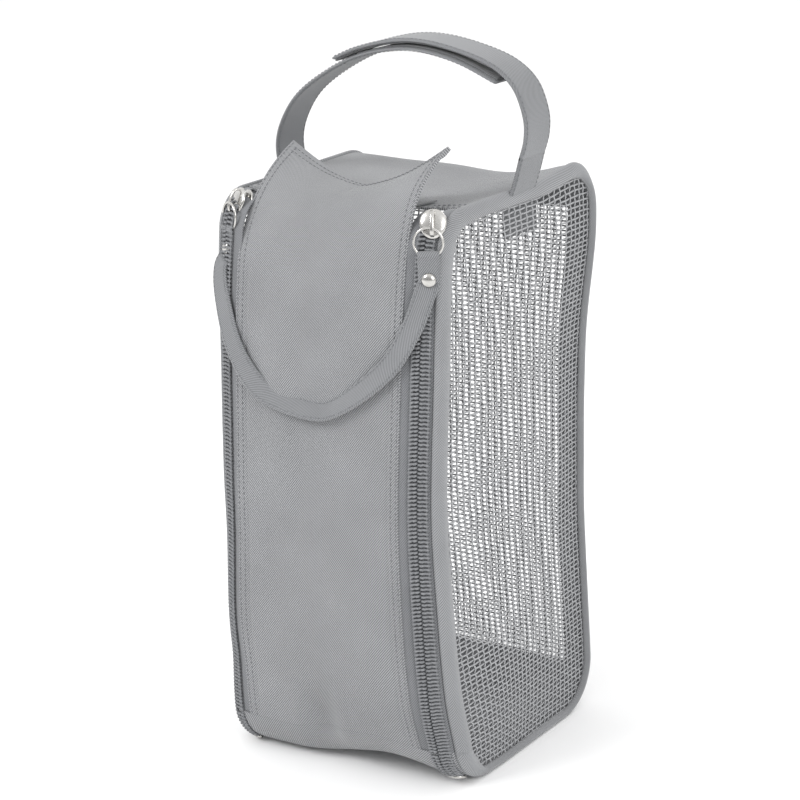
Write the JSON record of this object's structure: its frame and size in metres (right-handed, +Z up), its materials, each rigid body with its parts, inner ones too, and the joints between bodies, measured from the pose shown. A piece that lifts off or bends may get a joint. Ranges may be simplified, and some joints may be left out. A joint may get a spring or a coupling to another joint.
{
  "type": "shoe bag",
  "caption": "Upright zipped shoe bag with net sides and back, a front panel that folds open on two zips joined by a pull strap, and a hook-and-loop carry handle on top.",
  "frame": {"origin": "middle of the underside, on the flat base face", "axes": "+Z up, +X across the front towards the right-hand net side, -Y towards the front panel"},
  "size_m": [0.148, 0.1484, 0.3951],
  "materials": {
    "body_fabric": "matte grey twill weave",
    "net": "open coated net, slight sheen",
    "binding_tape": "herringbone binding tape",
    "zip_tape": "herringbone zip tape",
    "zip_coil": "moulded nylon coil",
    "nickel_hardware": "polished nickel plating",
    "hook_and_loop": "hook-and-loop pile",
    "webbing": "folded and stitched fabric strap"
  },
  "bodies": {
    "bag": {"bottom_panel": "body_fabric", "back_net_panel": "net", "left_back_strip": "body_fabric", "right_back_strip": "body_fabric", "top_panel": "body_fabric", "left_net_panel": "net", "right_net_panel": "net", "left_binding": "binding_tape", "right_binding": "binding_tape", "left_outer_tape": "zip_tape", "right_outer_tape": "zip_tape", "left_outer_teeth": "zip_coil", "right_outer_teeth": "zip_coil", "left_lower_zip": "zip_coil", "right_lower_zip": "zip_coil", "left_bottom_stop": "nickel_hardware", "right_bottom_stop": "nickel_hardware", "outer_top_stops": "nickel_hardware", "top_loop_patch": "hook_and_loop", "left_handle_anchor": "webbing", "right_handle_anchor": "webbing", "left_inner_tab": "webbing", "right_inner_tab": "webbing"},
    "front": {"front_panel": "body_fabric", "left_inner_tape": "zip_tape", "right_inner_tape": "zip_tape", "left_inner_teeth": "zip_coil", "right_inner_teeth": "zip_coil", "inner_top_stops": "nickel_hardware"},
    "tongue": {"tongue": "body_fabric", "tongue_hook_patch": "hook_and_loop"},
    "left_slider": {"left_slider": "nickel_hardware", "left_slider_bridge": "nickel_hardware"},
    "right_slider": {"right_slider": "nickel_hardware", "right_slider_bridge": "nickel_hardware"},
    "pull_strap": {"pull_strap": "webbing", "left_ring": "nickel_hardware", "right_ring": "nickel_hardware", "left_rivet": "nickel_hardware", "right_rivet": "nickel_hardware"},
    "handle": {"handle_left_strap": "webbing", "handle_loop_strip": "hook_and_loop"},
    "handle_flap": {"handle_right_strap": "webbing", "handle_hook_strip": "hook_and_loop"}
  },
  "joints": [
    {"name": "front_panel_open", "type": "hinge", "parent": "bag", "child": "front", "pos_m": [0, -0.074, 0.02288], "axis": [1, 0, 0], "range_deg": [0, 90]},
    {"name": "left_slider_slide", "type": "slide", "parent": "front", "child": "left_slider", "axis": [0, -0.0401, -0.9992], "range_m": [0, 0.27]},
    {"name": "right_slider_slide", "type": "slide", "parent": "front", "child": "right_slider", "axis": [0, -0.0401, -0.9992], "range_m": [0, 0.27]},
    {"name": "pull_strap_swing", "type": "hinge", "parent": "left_slider", "child": "pull_strap", "pos_m": [0, -0.06788, 0.30987], "axis": [-1, 0, 0], "range_deg": [0, 180]},
    {"name": "tongue_lift", "type": "hinge", "parent": "front", "child": "tongue", "pos_m": [0, -0.05196, 0.3227], "axis": [1, 0, 0], "range_deg": [0, 100]},
    {"name": "handle_swing", "type": "hinge", "parent": "bag", "child": "handle", "pos_m": [0, 0.0125, 0.33], "axis": [1, 0, 0], "range_deg": [-60, 60]},
    {"name": "handle_closure_open", "type": "hinge", "parent": "handle", "child": "handle_flap", "pos_m": [0.069, 0.0125, 0.33], "axis": [0, 1, 0], "range_deg": [0, 75]}
  ],
  "couplings": [
    {"joint": "left_slider_slide", "follows": "front_panel_open", "m_per_rad": 0.1715},
    {"joint": "right_slider_slide", "follows": "front_panel_open", "m_per_rad": 0.1715},
    {"joint": "pull_strap_swing", "follows": "front_panel_open", "ratio": 2}
  ]
}
